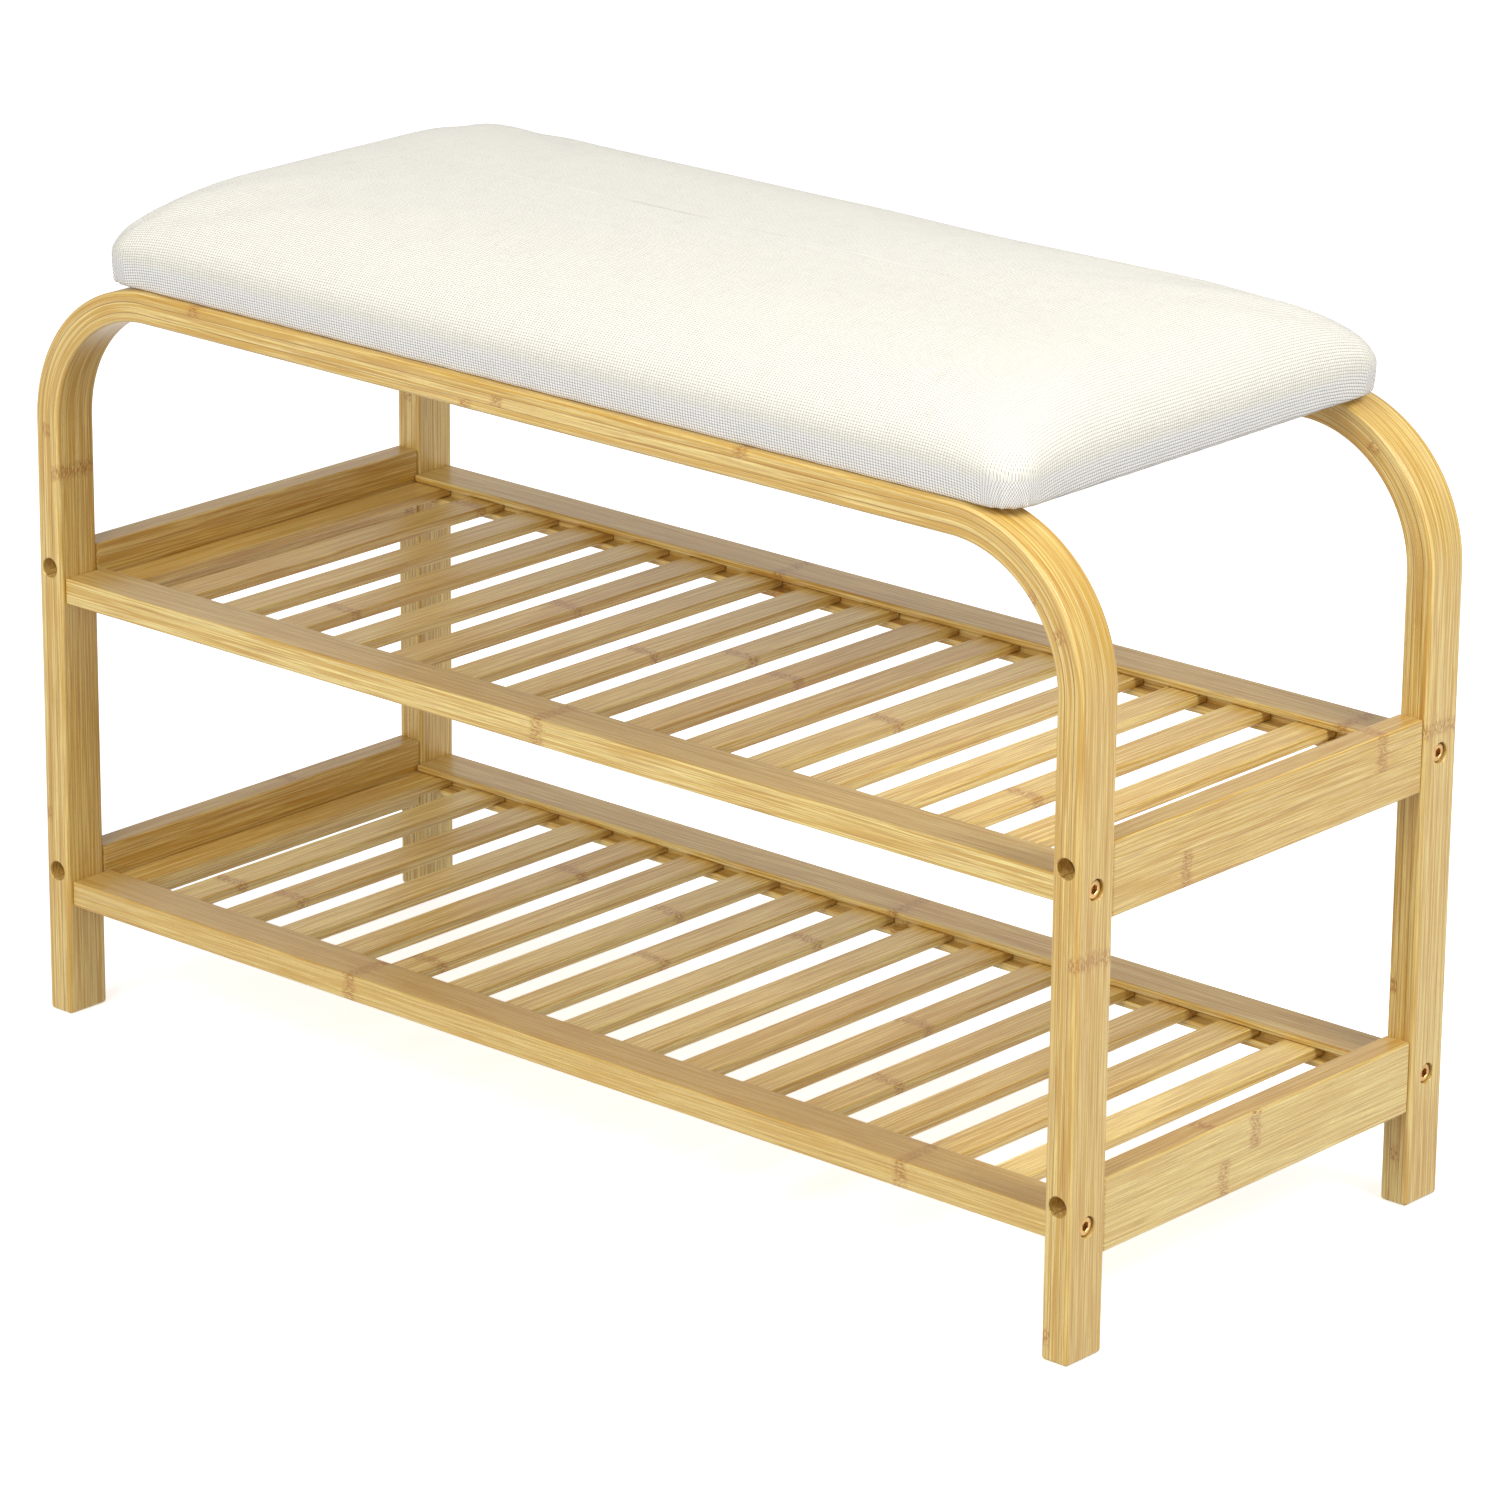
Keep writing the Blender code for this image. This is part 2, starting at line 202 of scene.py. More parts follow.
def bambooMaterial(name, layerN, layerW, shiftN=0.5, shiftW=0.5, glue=0.35):
    made, tree, shader = newMaterial(name)
    n, w, s = parted(tree, carried(tree, "grain").outputs["Vector"])
    tone = carried(tree, "tone").outputs["Fac"]

    # which lamination a point is in, and how near it is to the glue line
    def layer(value, thick, shift):
        share = plus(tree, calc(tree, "DIVIDE", value, thick), shift)
        edge = calc(tree, "ABSOLUTE", minus(tree, calc(tree, "FRACT", share), 0.5))
        line = band(tree, times(tree, edge, thick), thick / 2 - 0.00032, thick / 2 - 0.00005)
        return calc(tree, "FLOOR", share), line
    idN, lineN = layer(n, layerN, shiftN)
    idW, lineW = layer(w, layerW, shiftW)
    toneShare = plus(tree, times(tree, idW, 7.13), times(tree, tone, 91.7))
    stripId = plus(tree, times(tree, idN, 3.71), toneShare)
    paleLuck = chance(tree, stripId)
    streakLuck = chance(tree, plus(tree, stripId, 17.3))

    # the strip's own growth node: one for the inner, one for the middle and one for the outer strips
    innerMark, middleMark, outerMark = parted(tree, carried(tree, "marks").outputs["Vector"])
    strip = plus(tree, idN, idW)
    inner = times(tree, calc(tree, "LESS_THAN", strip, -0.5), minus(tree, innerMark, middleMark))
    outer = times(tree, calc(tree, "GREATER_THAN", strip, 0.5), minus(tree, outerMark, middleMark))
    nodeAt = plus(tree, middleMark, plus(tree, inner, outer))

    spacing = bamboo["nodeSpacing"]
    wobble = cloudy(tree, stretched(tree, (n, w, s), (260.0, 260.0, 20.0)), 1.0)
    offNode = times(tree, minus(tree, wobble, 0.5), bamboo["nodeWobble"])
    along = plus(tree, minus(tree, s, nodeAt), offNode)
    cell = calc(tree, "FRACT", plus(tree, calc(tree, "DIVIDE", along, spacing), 0.5))
    away = times(tree, calc(tree, "ABSOLUTE", minus(tree, cell, 0.5)), spacing)
    nodeMask = band(tree, away, 0.0016, 0.0058, 1.0, 0.0)
    nodeFar = band(tree, away, 0.002, 0.016, 1.0, 0.0)

    # fibres run along the strip and kink at the nodes
    drift = cloudy(tree, stretched(tree, (n, w, s), (60.0, 60.0, 9.0)), 1.0, 1.0)
    kink = times(tree, minus(tree, wobble, 0.5), times(tree, nodeMask, 0.0016))
    shift = plus(tree, times(tree, drift, bamboo["drift"]), kink)
    fibreN, fibreW = plus(tree, n, shift), plus(tree, w, shift)

    def streaks(across, along, detail, extra):
        run = plus(tree, times(tree, s, along), times(tree, streakLuck, extra))
        place = joined(tree, times(tree, fibreN, across), times(tree, fibreW, across), run)
        return cloudy(tree, place, 1.0, detail)
    broad, medium = streaks(*bamboo["broad"]), streaks(*bamboo["medium"])
    fine, dashes = streaks(*bamboo["fine"]), streaks(*bamboo["dashes"])
    mediumDark = times(tree, band(tree, medium, 0.52, 0.70), 0.7)
    fineDark = times(tree, band(tree, fine, 0.50, 0.70), 0.9)
    fibreDark = plus(tree, mediumDark, fineDark, clamp=True)
    dashNearNode = plus(tree, times(tree, nodeFar, 0.5), 0.35)
    dashDark = times(tree, band(tree, dashes, 0.60, 0.74), dashNearNode)

    mixed = plus(tree, times(tree, broad, 0.2), times(tree, medium, 0.8))
    stripPale = times(tree, minus(tree, paleLuck, 0.5), 0.55)
    paleShare = plus(tree, band(tree, mixed, 0.41, 0.59), stripPale, clamp=True)
    colour = blendColour(tree, paleShare, bamboo["golden"], bamboo["pale"])
    colour = blendColour(tree, times(tree, fibreDark, bamboo["fibreDepth"]), colour, bamboo["fibre"])
    colour = blendColour(tree, times(tree, dashDark, bamboo["dashDepth"]), colour, bamboo["fibre"])
    speckle = cloudy(tree, stretched(tree, (n, w, s), (1500.0, 1500.0, 420.0)), 1.0, 2.0)
    nodeDark = times(tree, nodeMask, band(tree, speckle, 0.42, 0.60, 0.12, 0.92))
    colour = blendColour(tree, nodeDark, colour, bamboo["node"])
    lines = times(tree, calc(tree, "MAXIMUM", lineN, lineW), glue)
    colour = blendColour(tree, lines, colour, bamboo["glue"])
    feed(tree, shader.inputs["Base Color"], colour)
    feed(tree, shader.inputs["Roughness"], plus(tree, times(tree, medium, 0.16), bamboo["roughness"]))
    shader.inputs["Coat Weight"].default_value = bamboo["coat"]
    shader.inputs["Coat Roughness"].default_value = bamboo["coatRoughness"]
    sunk = plus(tree, fibreDark, times(tree, lines, 1.4))
    bumps(tree, shader, minus(tree, times(tree, nodeDark, 0.9), sunk), 0.22, 0.00018)
    return made


def steel(name, colour, roughness):
    made, tree, shader = newMaterial(name)
    place = tree.nodes.new("ShaderNodeTexCoord").outputs["Object"]
    smear = cloudy(tree, place, 900.0, 3.0)
    mottle = cloudy(tree, place, 220.0, 2.0)
    darker = tuple(c * 0.72 for c in colour[:3]) + (1.0,)
    mixed = blendColour(tree, band(tree, mottle, 0.35, 0.7), colour, darker)
    feed(tree, shader.inputs["Base Color"], mixed)
    shader.inputs["Metallic"].default_value = 1.0
    feed(tree, shader.inputs["Roughness"], band(tree, smear, 0.2, 0.8, roughness - 0.08, roughness + 0.12))
    bumps(tree, shader, smear, 0.12, 0.00005)
    return made


hoopBamboo = bambooMaterial("bentBamboo", layerN=0.0056, layerW=0.0540, glue=0.75)
railBamboo = bambooMaterial("railBamboo", layerN=0.0300, layerW=0.0140, glue=0.3)
endRailBamboo = bambooMaterial("endRailBamboo", layerN=0.0300, layerW=0.0190, shiftW=0.0, glue=0.3)
slatBamboo = bambooMaterial("slatBamboo", layerN=0.0300, layerW=0.0300)
zincYellow = steel("yellowZinc", linear(196, 158, 104), 0.30)
print("bamboo and metal mixed")


def insetCorners(corners, amount):
    moved = []
    for i, corner in enumerate(corners):
        here = Vector(corner)
        before = (here - Vector(corners[i - 1])).normalized()
        after = (Vector(corners[(i + 1) % len(corners)]) - here).normalized()
        inward = Vector((-before.y, before.x)) + Vector((-after.y, after.x))
        moved.append(here + inward * amount)
    return moved


def roundedRing(corners, radius, steps=4):
    ring = []
    for i, here in enumerate(corners):
        toBefore = (corners[i - 1] - here).normalized()
        toAfter = (corners[(i + 1) % len(corners)] - here).normalized()
        centre = here + (toBefore + toAfter) * radius
        for k in range(steps + 1):
            turn = math.pi / 2 * k / steps
            ring.append(centre - toAfter * radius * math.cos(turn) - toBefore * radius * math.sin(turn))
    return ring


def endStations(radius, steps=4):
    # (distance from the end, inset) of a rounded end
    turns = [math.pi / 2 * k / steps for k in range(steps + 1)]
    return [(radius * (1 - math.cos(turn)), radius * (1 - math.sin(turn))) for turn in turns]


def loft(name, rings):
    # rings of points, each with the same count, joined in order and closed at both ends
    work = bmesh.new()
    rows = [[work.verts.new(p) for p in ring] for ring in rings]
    for first, second in zip(rows, rows[1:]):
        for i in range(len(first)):
            j = (i + 1) % len(first)
            work.faces.new((first[i], first[j], second[j], second[i]))
    work.faces.new(list(reversed(rows[0])))
    work.faces.new(rows[-1])
    bmesh.ops.recalc_face_normals(work, faces=work.faces)
    mesh = bpy.data.meshes.new(name)
    work.to_mesh(mesh)
    work.free()
    obj = bpy.data.objects.new(name, mesh)
    scene.collection.objects.link(obj)
    return obj


def sweep(name, corners, radius, stations):
    rings = []
    for place, axisN, axisW, inset in stations:
        ring = roundedRing(insetCorners(corners, inset), max(radius - inset, 0.0002))
        rings.append([place + axisN * p.x + axisW * p.y for p in ring])
    return loft(name, rings)


def ringPoints(radius, z, count, flats=0.0):
    # a circle, or a hexagon when flats gives its size across the flats
    points = []
    for i in range(count):
        turn = 2 * math.pi * i / count
        reach = radius
        if flats:
            reach = flats / 2 / math.cos((turn + math.pi / 6) % (math.pi / 3) - math.pi / 6)
        points.append(Vector((reach * math.cos(turn), reach * math.sin(turn), z)))
    return points


def applyModifiers(obj):
    graph = bpy.context.evaluated_depsgraph_get()
    made = obj.evaluated_get(graph)
    mesh = bpy.data.meshes.new_from_object(made, preserve_all_data_layers=True, depsgraph=graph)
    old = obj.data
    obj.modifiers.clear()
    obj.data = mesh
    bpy.data.meshes.remove(old)


def drill(obj, holes):
    # holes: (mouth, direction into the wood, [(radius, depth), ...] from the mouth inwards)
    cutters, sides = [], bolt["sides"]
    for mouth, inward, steps in holes:
        turn = (-inward).to_track_quat("Z", "Y").to_matrix().to_4x4()
        widest, flare, lead = steps[0][0], bolt["flare"], 0.0030
        rings = [ringPoints(widest + lead, lead - flare, sides), ringPoints(widest, -flare, sides)]
        top = 0.0
        for radius, depth in steps:
            if top:
                rings.append(ringPoints(radius, -top, sides))
            rings.append(ringPoints(radius, -depth, sides))
            top = depth
        cutter = loft("cutter", rings)
        cutter.matrix_world = Matrix.Translation(mouth) @ turn
        cutters.append(cutter)
    bpy.context.view_layer.update()
    for cutter in cutters:
        cut = obj.modifiers.new("hole", "BOOLEAN")
        cut.operation = "DIFFERENCE"
        cut.solver = "EXACT"
        cut.object = cutter
    applyModifiers(obj)
    for cutter in cutters:
        bpy.data.objects.remove(cutter, do_unlink=True)


def dress(obj, material, grainOf, tone, node, marks=None):
    # smooth shading, grain places, material, and what the piece stands for
    mesh = obj.data
    for polygon in mesh.polygons:
        polygon.use_smooth = True
    mesh.set_sharp_from_angle(angle=math.radians(38))
    mesh.attributes.new("grain", "FLOAT_VECTOR", "POINT")
    mesh.attributes.new("tone", "FLOAT", "POINT")
    mesh.attributes.new("marks", "FLOAT_VECTOR", "POINT")
    luck = random.Random(round(tone * 1000))
    onward = tone * 7.3  # every piece takes its own stretch of bamboo
    spots = [luck.random() * bamboo["nodeSpacing"] if m is None else m for m in marks or (None, None, None)]
    places = []
    for vertex in mesh.vertices:
        n, w, s = grainOf(vertex.co)
        places += [n, w, s + onward]
    mesh.attributes["grain"].data.foreach_set("vector", places)
    mesh.attributes["tone"].data.foreach_set("value", [tone] * len(mesh.vertices))
    spots = [spot + onward for spot in spots]
    mesh.attributes["marks"].data.foreach_set("vector", spots * len(mesh.vertices))
    mesh.materials.clear()
    mesh.materials.append(material)
    weighted = obj.modifiers.new("normals", "WEIGHTED_NORMAL")
    weighted.keep_sharp = True
    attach(obj, "root")
    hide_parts(node)


# sizes shared by the holes and the bolts
bolt = {
    "headRadius": 0.0048,
    "headLong": 0.0042,
    "shankRadius": 0.0030,
    "socket": 0.0042,
    "socketDeep": 0.0027,
    "sinkRadius": 0.0053,
    "boreRadius": 0.0033,
    "endSinkDeep": 0.0145,
    "endBoltLong": 0.0420,
    "endBoltRise": 0.0187,
    "seatSinkDeep": 0.006,
    "flare": 0.0004,
    "sides": 48,
}


hoop = {
    "edge": 0.0022,
    "bend": 0.0820,
    "bendSteps": 40,
    "legSteps": 10,
    "topSteps": 12,
    "tones": (0.31, 0.68),
    "marks": ((-0.411, 0.351, 0.510), (None, None, 0.462)),  # growth nodes along each hoop
}


def hoopSizes():
    low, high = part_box("hoop_front")
    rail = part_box("rail_lower_front")
    thick = high.x - rail[1].x - 0.0003
    return {"halfX": high.x, "top": high.z, "wide": high.y - low.y, "thick": thick}


def hoopStations(sizes, bend, y):
    halfX, top, thick = sizes["halfX"], sizes["top"], sizes["thick"]
    bendX, bendZ, centreR = halfX - bend, top - bend, bend - thick / 2
    legX = halfX - thick / 2
    stations = []
    for down, inset in endStations(hoop["edge"]):
        stations.append((Vector((-legX, y, down)), -xAxis, yAxis, inset))
    for i in range(1, hoop["legSteps"]):
        stations.append((Vector((-legX, y, bendZ * i / hoop["legSteps"])), -xAxis, yAxis, 0.0))
    for i in range(hoop["bendSteps"] + 1):
        turn = math.pi / 2 * i / hoop["bendSteps"]
        out = Vector((-math.cos(turn), 0, math.sin(turn)))
        stations.append((Vector((-bendX, y, bendZ)) + out * centreR, out, yAxis, 0.0))
    for i in range(1, hoop["topSteps"]):
        x = -bendX + 2 * bendX * i / hoop["topSteps"]
        stations.append((Vector((x, y, top - thick / 2)), zAxis, yAxis, 0.0))
    other = []
    for place, axisN, axisW, inset in reversed(stations):
        if -place.x >= bendX - 1e-6:
            flipped = Vector((-place.x, place.y, place.z))
            other.append((flipped, Vector((-axisN.x, axisN.y, axisN.z)), axisW, inset))
    return stations + other


def hoopGrain(sizes, bend, y):
    halfX, top, thick = sizes["halfX"], sizes["top"], sizes["thick"]
    bendX, bendZ, centreR = halfX - bend, top - bend, bend - thick / 2

    def grainOf(co):
        side = -1 if co.x < 0 else 1
        reach = abs(co.x)
        if co.z <= bendZ:
            along = bendX + centreR * math.pi / 2 + bendZ - co.z
            return reach - (halfX - thick / 2), co.y - y, side * along
        if reach <= bendX:
            return co.z - (top - thick / 2), co.y - y, co.x
        turn = math.atan2(reach - bendX, co.z - bendZ)
        return math.hypot(reach - bendX, co.z - bendZ) - centreR, co.y - y, side * (bendX + turn * centreR)
    return grainOf


def railBoltSpot(level, face, end):
    low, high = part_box(f"rail_bolt_{level}_{face}_{end}")
    side = 1 if end == "right" else -1
    return Vector((high.x if side > 0 else low.x, (low.y + high.y) / 2, (low.z + high.z) / 2)), side


def makeHoops():
    sizes = hoopSizes()
    legX = sizes["halfX"] - sizes["thick"] / 2
    half, wide = sizes["thick"] / 2, sizes["wide"] / 2
    corners = [(-half, -wide), (half, -wide), (half, wide), (-half, wide)]
    for number, (face, outward) in enumerate(faces):
        node = f"hoop_{face}"
        low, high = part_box(node)
        y = (low.y + high.y) / 2
        obj = sweep(f"hoop{face}Bent", corners, hoop["edge"], hoopStations(sizes, hoop["bend"], y))
        holes = []
        for level in shelves:
            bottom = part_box(f"rail_{level}_{face}")[0].z
            for end in ("left", "right"):
                spot, side = railBoltSpot(level, face, end)
                mouth = Vector((side * sizes["halfX"], spot.y, spot.z))
                sink = bolt["headLong"] + abs(mouth.x - spot.x)
                steps = [(bolt["sinkRadius"], sink), (bolt["boreRadius"], 0.03)]
                holes.append((mouth, -xAxis * side, steps))
                mouth = Vector((side * legX, y + outward * wide, bottom + bolt["endBoltRise"]))
                steps = [(bolt["sinkRadius"], bolt["endSinkDeep"]), (bolt["boreRadius"], 0.04)]
                holes.append((mouth, -yAxis * outward, steps))
        for end in ("left", "right"):
            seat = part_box(f"seat_bolt_{face}_{end}")
            mouth = Vector(((seat[0].x + seat[1].x) / 2, y, sizes["top"] - sizes["thick"]))
            steps = [(bolt["sinkRadius"], bolt["seatSinkDeep"]), (bolt["boreRadius"], 0.03)]
            holes.append((mouth, zAxis, steps))
        drill(obj, holes)
        grainOf = hoopGrain(sizes, hoop["bend"], y)
        dress(obj, hoopBamboo, grainOf, hoop["tones"][number], node, hoop["marks"][number])
    print("hoops bent and drilled")


shelf = {
    "railEdge": 0.0010,
    "endRailEdge": 0.0013,
    "slatEdge": 0.0008,
    "lip": 0.0039,
    "groove": 0.0061,
    "grooveDeep": 0.0085,
    "boreDeep": 0.030,
    "marks": {
        "end_rail_upper_right": (-0.065, 0.088, None),
        "end_rail_lower_right": (-0.028, -0.004, None),
    },
}


def straightStations(centre, along, axisN, axisW, long, edge, pieces=8):
    ends = endStations(edge)
    places = [(-long / 2 + d, inset) for d, inset in ends]
    places += [(-long / 2 + edge + (long - 2 * edge) * i / pieces, 0.0) for i in range(1, pieces)]
    places += [(long / 2 - d, inset) for d, inset in reversed(ends)]
    return [(centre + along * place, axisN, axisW, inset) for place, inset in places]


def straightGrain(centre, along, axisN, axisW):
    return lambda co: ((co - centre).dot(axisN), (co - centre).dot(axisW), (co - centre).dot(along))


def plank(name, node, along, axisN, axisW, edge, material, tone, holes=(), marks=None):
    low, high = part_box(node)
    centre, size = (low + high) / 2, high - low
    halfN, halfW = abs(size.dot(axisN)) / 2, abs(size.dot(axisW)) / 2
    corners = [(-halfN, -halfW), (halfN, -halfW), (halfN, halfW), (-halfN, halfW)]
    long = abs(size.dot(along))
    obj = sweep(name, corners, edge, straightStations(centre, along, axisN, axisW, long, edge))
    if holes:
        drill(obj, holes)
    dress(obj, material, straightGrain(centre, along, axisN, axisW), tone, node, marks)


def longRail(name, node, inward, tone, holes):
    # section in (Y, Z): the groove opens towards the shelf
    low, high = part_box(node)
    centre, size = (low + high) / 2, high - low
    halfY, halfZ = size.y / 2, size.z / 2
    upper = halfZ - shelf["lip"]
    lower = upper - shelf["groove"]
    back = halfY - shelf["grooveDeep"]
    corners = [(-halfY, -halfZ), (halfY, -halfZ), (halfY, lower), (back, lower)]
    corners += [(back, upper), (halfY, upper), (halfY, halfZ), (-halfY, halfZ)]
    axisY, edge = yAxis * inward, shelf["railEdge"]
    obj = sweep(name, corners, edge, straightStations(centre, xAxis, axisY, zAxis, size.x, edge, 16))
    drill(obj, holes)
    dress(obj, railBamboo, straightGrain(centre, xAxis, axisY, zAxis), tone, node)


def makeShelves():
    luck = random.Random(11)
    bore = [(bolt["boreRadius"], shelf["boreDeep"])]
    legX = hoopSizes()["halfX"] - hoopSizes()["thick"] / 2
    for level in shelves:
        for face, outward in faces:
            node = f"rail_{level}_{face}"
            holes = []
            for end in ("left", "right"):
                spot, side = railBoltSpot(level, face, end)
                mouth = Vector((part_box(node)[1 if side > 0 else 0].x, spot.y, spot.z))
                holes.append((mouth, -xAxis * side, bore))
            longRail(f"{level}Rail{face.title()}", node, -outward, luck.random(), holes)
        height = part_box(f"rail_{level}_front")[0].z + bolt["endBoltRise"]
        for end, side in (("left", -1), ("right", 1)):
            node = f"end_rail_{level}_{end}"
            low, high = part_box(node)
            holes = [(Vector((side * legX, low.y, height)), yAxis, bore)]
            holes.append((Vector((side * legX, high.y, height)), -yAxis, bore))
            plank(f"{level}EndRail{end.title()}", node, yAxis, xAxis, zAxis, shelf["endRailEdge"],
                  endRailBamboo, luck.random(), holes, shelf["marks"].get(node))
        slats = sorted(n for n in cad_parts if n.startswith(f"slat_{level}_"))
        for number, node in enumerate(slats):
            plank(f"{level}Slat{number + 1:02d}", node, yAxis, zAxis, xAxis, shelf["slatEdge"],
                  slatBamboo, luck.random())
        print(level, "shelf made:", len(slats), "slats")


def boltRings(long):
    # from the bottom of the socket up, over the head and down the shank
    head, shank, flats, deep = bolt["headRadius"], bolt["shankRadius"], bolt["socket"], bolt["socketDeep"]
    hexagon = ((-deep, flats * 0.96), (-0.0003, flats), (-0.00005, flats + 0.0005))
    turned = (
        (flats / 2 + 0.0009, 0.0), (head - 0.0007, 0.0), (head - 0.0002, -0.0002),
        (head, -0.0007), (head, -bolt["headLong"]), (shank, -bolt["headLong"]),
        (shank, -long + 0.0008), (shank - 0.0008, -long),
    )
    rings = [ringPoints(0.0003, -deep - 0.0006, bolt["sides"])]
    rings += [ringPoints(0, z, bolt["sides"], across) for z, across in hexagon]
    return rings + [ringPoints(radius, z, bolt["sides"]) for radius, z in turned]


def placeBolt(name, spot, outward, long, *nodes):
    obj = loft(name, boltRings(long))
    turn = outward.to_track_quat("Z", "Y").to_matrix().to_4x4()
    obj.data.transform(Matrix.Translation(spot) @ turn)
    for polygon in obj.data.polygons:
        polygon.use_smooth = True
    obj.data.set_sharp_from_angle(angle=math.radians(30))
    obj.data.materials.append(zincYellow)
    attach(obj, "root")
    if nodes:
        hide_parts(*nodes)


def makeBolts():
    sizes = hoopSizes()
    legX = sizes["halfX"] - sizes["thick"] / 2
    made = 0
    for face, outward in faces:
        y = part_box(f"hoop_{face}")[0 if outward < 0 else 1].y
        endBoltY = y - outward * (bolt["endSinkDeep"] - bolt["headLong"])
        for end in ("left", "right"):
            place = face.title() + end.title()
            for level in shelves:
                node = f"rail_bolt_{level}_{face}_{end}"
                low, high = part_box(node)
                spot, side = railBoltSpot(level, face, end)
                placeBolt(f"{level}RailBolt{place}", spot, xAxis * side, high.x - low.x, node)
                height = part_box(f"rail_{level}_{face}")[0].z + bolt["endBoltRise"]
                spot = Vector((side * legX, endBoltY, height))
                placeBolt(f"{level}EndBolt{place}", spot, yAxis * outward, bolt["endBoltLong"])
                made += 2
            node = f"seat_bolt_{face}_{end}"
            low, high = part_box(node)
            spot = Vector(((low.x + high.x) / 2, (low.y + high.y) / 2, low.z))
            placeBolt(f"seatBolt{place}", spot, -zAxis, high.z - low.z, node)
            made += 1
    print("bolts turned:", made)


makeHoops()
makeShelves()
makeBolts()


cushion = {
    "corner": 0.018,
    "bandTop": 0.4243,
    "topHigh": 0.4650,
    "slopeX": (0.120, 5.3),  # how far the edge slopes reach in, and how steeply they start
    "slopeY": (0.103, 3.0),
    "slopePower": 0.43,
    "voxel": 0.0050,
    "pressure": 4.0,
    "cap": 0.005,
    "swellRoom": 0.0030,  # height left for the crown to swell into
    "swellEdge": (0.004, 0.016),  # the swell starts this far in, and is full this much further in
    "uneven": 0.0009,
    "bulge": 0.0020,
    "bulgeReach": (0.034, 0.014),  # up the side, and in over the edge
    "tuck": 0.0009,
    "tuckHigh": 0.0022,
    "pleat": 0.0016,
    "pleats": 5,
    "pleatHigh": 0.019,
    "pull": 0.00022,
    "pullHigh": 0.010,
    "pullPitch": 0.034,
    "bandFade": (0.0025, 0.0055),  # the side band's painted light and painted shade end this far over its top, fading over this height
    "gap": 0.0003,
    "slotInsets": (0.10, 0.04),
    "hemWide": 0.030,
    "hemInsets": (0.024, 0.016, 0.009, 0.004, 0.0016, 0.0009),
    "sideHeights": (0.0, 0.0005, 0.0012, 0.0022, 0.0036, 0.0054, 0.0074, 0.0095, 0.0115, 0.0132),
    "crownInsets": (
        0.000002, 0.00004, 0.0002, 0.0005, 0.001, 0.0016, 0.0025, 0.0038, 0.0055, 0.0075, 0.010,
        0.013, 0.0165, 0.0205, 0.025, 0.030, 0.0355, 0.0415, 0.048, 0.055, 0.0625, 0.0705, 0.079,
        0.088, 0.097, 0.106, 0.115, 0.124, 0.132, 0.139, 0.1427,
    ),
    "weave": 0.0017,
    "linen": linear(244, 240, 228),
    "linenGapShadeAndSlub": linear(146, 139, 120),
    "bandPaintedLight": linear(254, 253, 251),
    "bandPaintedShade": linear(124, 125, 128),
    "fill": 0.85,
}


def seatOutline(halfX, halfY, radius, spacing=0.005, cornerSteps=22):
    points = []
    for signX, signY, start in ((1, 1, 0), (-1, 1, 90), (-1, -1, 180), (1, -1, 270)):
        centre = Vector((signX * (halfX - radius), signY * (halfY - radius)))
        for k in range(cornerSteps + 1):
            turn = math.radians(start + 90 * k / cornerSteps)
            points.append(centre + Vector((math.cos(turn), math.sin(turn))) * radius)
    ring = []
    for i, here in enumerate(points):
        after = points[(i + 1) % len(points)]
        steps = max(1, round((after - here).length / spacing))
        ring += [here.lerp(after, k / steps) for k in range(steps)]
    return ring


def insideBy(x, y, high):
    # how far a point lies inside the outline, and which way is out
    radius = cushion["corner"]
    dx, dy = abs(x) - (high.x - radius), abs(y) - (high.y - radius)
    if dx > 0 and dy > 0:
        reach = math.hypot(dx, dy)
        return radius - reach, math.copysign(dx / reach, x), math.copysign(dy / reach, y)
    if dx > dy:
        return radius - dx, math.copysign(1, x), 0.0
    return radius - dy, 0.0, math.copysign(1, y)


def crown(x, y, high):
    # share of the full height at a place on the seat
    share = 1.0
    awayX, awayY = max(0.0, high.x - abs(x)), max(0.0, high.y - abs(y))
    for away, (wide, power) in ((awayX, cushion["slopeX"]), (awayY, cushion["slopeY"])):
        share *= (1 - max(0.0, 1 - away / wide) ** power) ** cushion["slopePower"]
    inside, nearest = insideBy(x, y, high)[0], min(awayX, awayY)
    return share * (min(1.0, max(0.0, inside) / nearest) ** 0.4 if nearest else 1.0)


def clothLength(away, wide, power):
    # distance along the cloth from the edge of the crown inwards, over one slope
    rise = cushion["topHigh"] - cushion["bandTop"]
    steps, total, lastAway, lastTall = 40, 0.0, 0.0, 0.0
    for k in range(1, steps + 1):
        here = away * (k / steps) ** 3
        tall = rise * (1 - max(0.0, 1 - here / wide) ** power) ** cushion["slopePower"]
        total += math.hypot(here - lastAway, tall - lastTall)
        lastAway, lastTall = here, tall
    return total


def clothPlace(co, high, halfX, halfY, drop, inBand):
    # cloth coordinates: measured along the cloth over the top, then down each side and under
    outX, outY = insideBy(co.x, co.y, high)[1:]
    fullX, fullY = crown(co.x, 0.0, high), crown(0.0, co.y, high)
    alongX = halfX - clothLength(max(0.0, high.x - abs(co.x)), *cushion["slopeX"])
    alongY = halfY - clothLength(max(0.0, high.y - abs(co.y)), *cushion["slopeY"])
    u = co.x + (math.copysign(alongX, co.x) - co.x) * fullY
    v = co.y + (math.copysign(alongY, co.y) - co.y) * fullX
    return [u + outX * drop, v + outY * drop, inBand]


def drawnIn(outline, high, inset, z):
    sx, sy = (high.x - inset) / high.x, (high.y - inset) / high.y
    return [Vector((p.x * sx, p.y * sy, z)) for p in outline]


